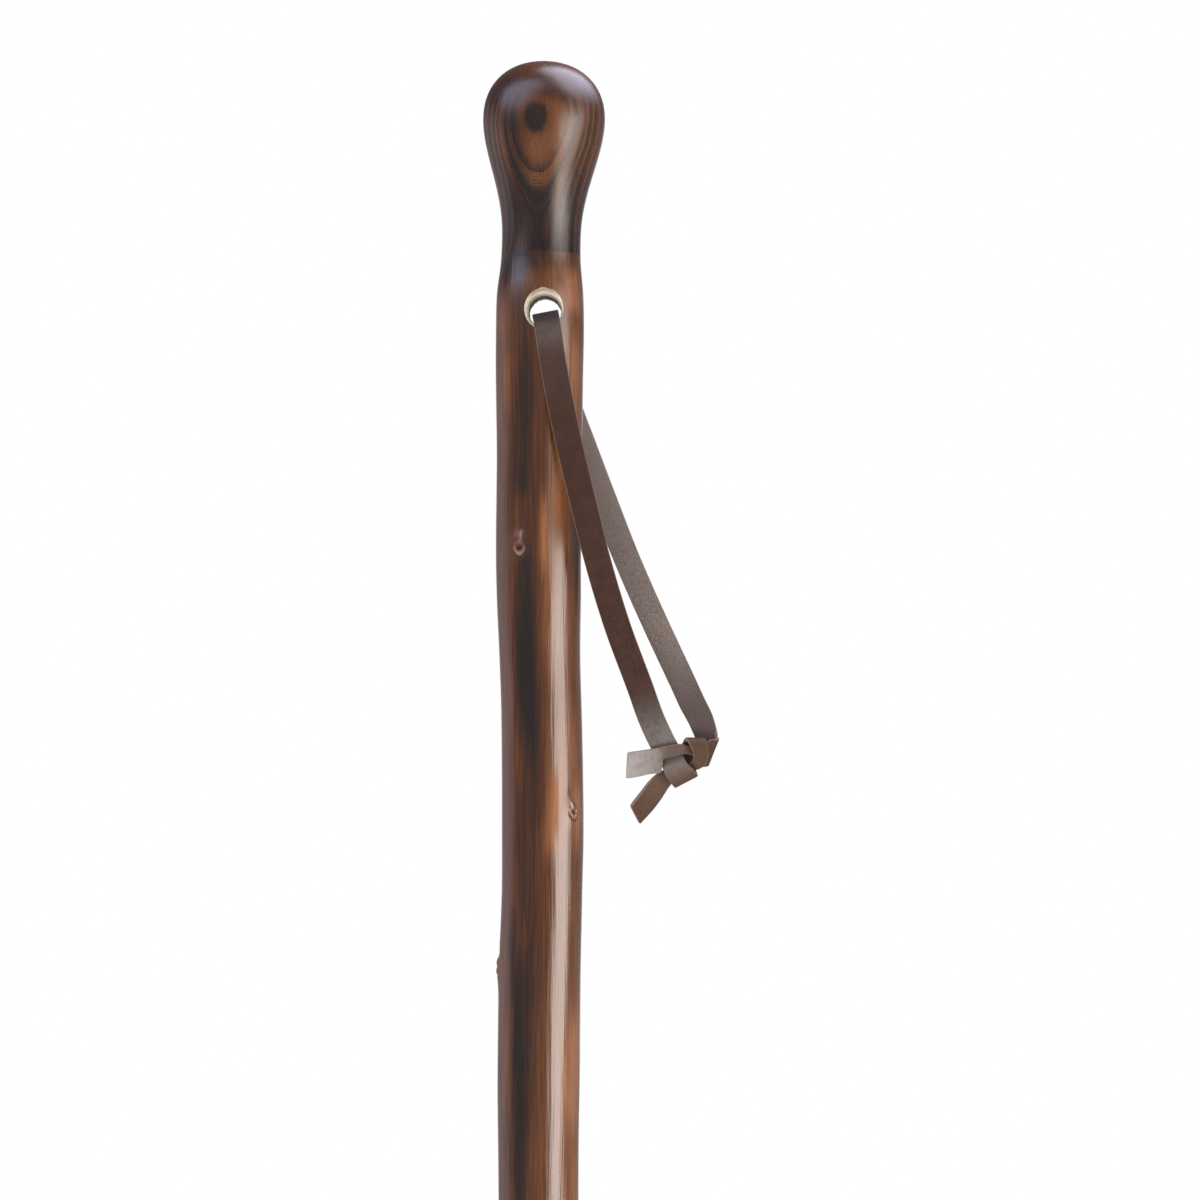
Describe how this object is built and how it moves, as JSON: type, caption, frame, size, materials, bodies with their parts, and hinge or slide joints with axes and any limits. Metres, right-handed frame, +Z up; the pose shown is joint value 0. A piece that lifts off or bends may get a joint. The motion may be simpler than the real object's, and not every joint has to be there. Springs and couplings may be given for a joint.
{
  "type": "walking cane",
  "caption": "Straight chestnut walking cane with a turned round knob, a knotted leather wrist strap through the stick, and a spiked steel tip under a slip-on rubber cap.",
  "frame": {"origin": "centre of the flat middle of the rubber cap's tread, on the ground", "axes": "+Z up along the stick to the knob; -Y is the front, the side the picture shows; +X is to its right, where the strap hangs"},
  "size_m": [0.0688, 0.0354, 0.93],
  "materials": {
    "knob_wood": "dark flamed chestnut burl under gloss lacquer",
    "stick_wood": "flamed chestnut pole under gloss lacquer",
    "strap_leather": "smooth brown strap leather with a rough flesh side",
    "tip_steel": "satin zinc-plated steel",
    "cap_rubber": "matt black moulded rubber"
  },
  "bodies": {
    "cane": {"knob": "knob_wood", "stick": "stick_wood", "tip_sleeve": "tip_steel", "tip_spike": "tip_steel", "sleeve_nail_left": "tip_steel", "sleeve_nail_right": "tip_steel"},
    "strap": {"wrist_strap": "strap_leather"},
    "cap": {"rubber_cap": "cap_rubber", "cap_washer": "tip_steel"}
  },
  "joints": [
    {"name": "strap_swing", "type": "hinge", "parent": "cane", "child": "strap", "pos_m": [0.0012, 0, 0.8574], "axis": [0, -1, 0], "range_deg": [0, 140]},
    {"name": "cap_pull", "type": "slide", "parent": "cane", "child": "cap", "axis": [0, 0, -1], "range_m": [0, 0.045]}
  ]
}
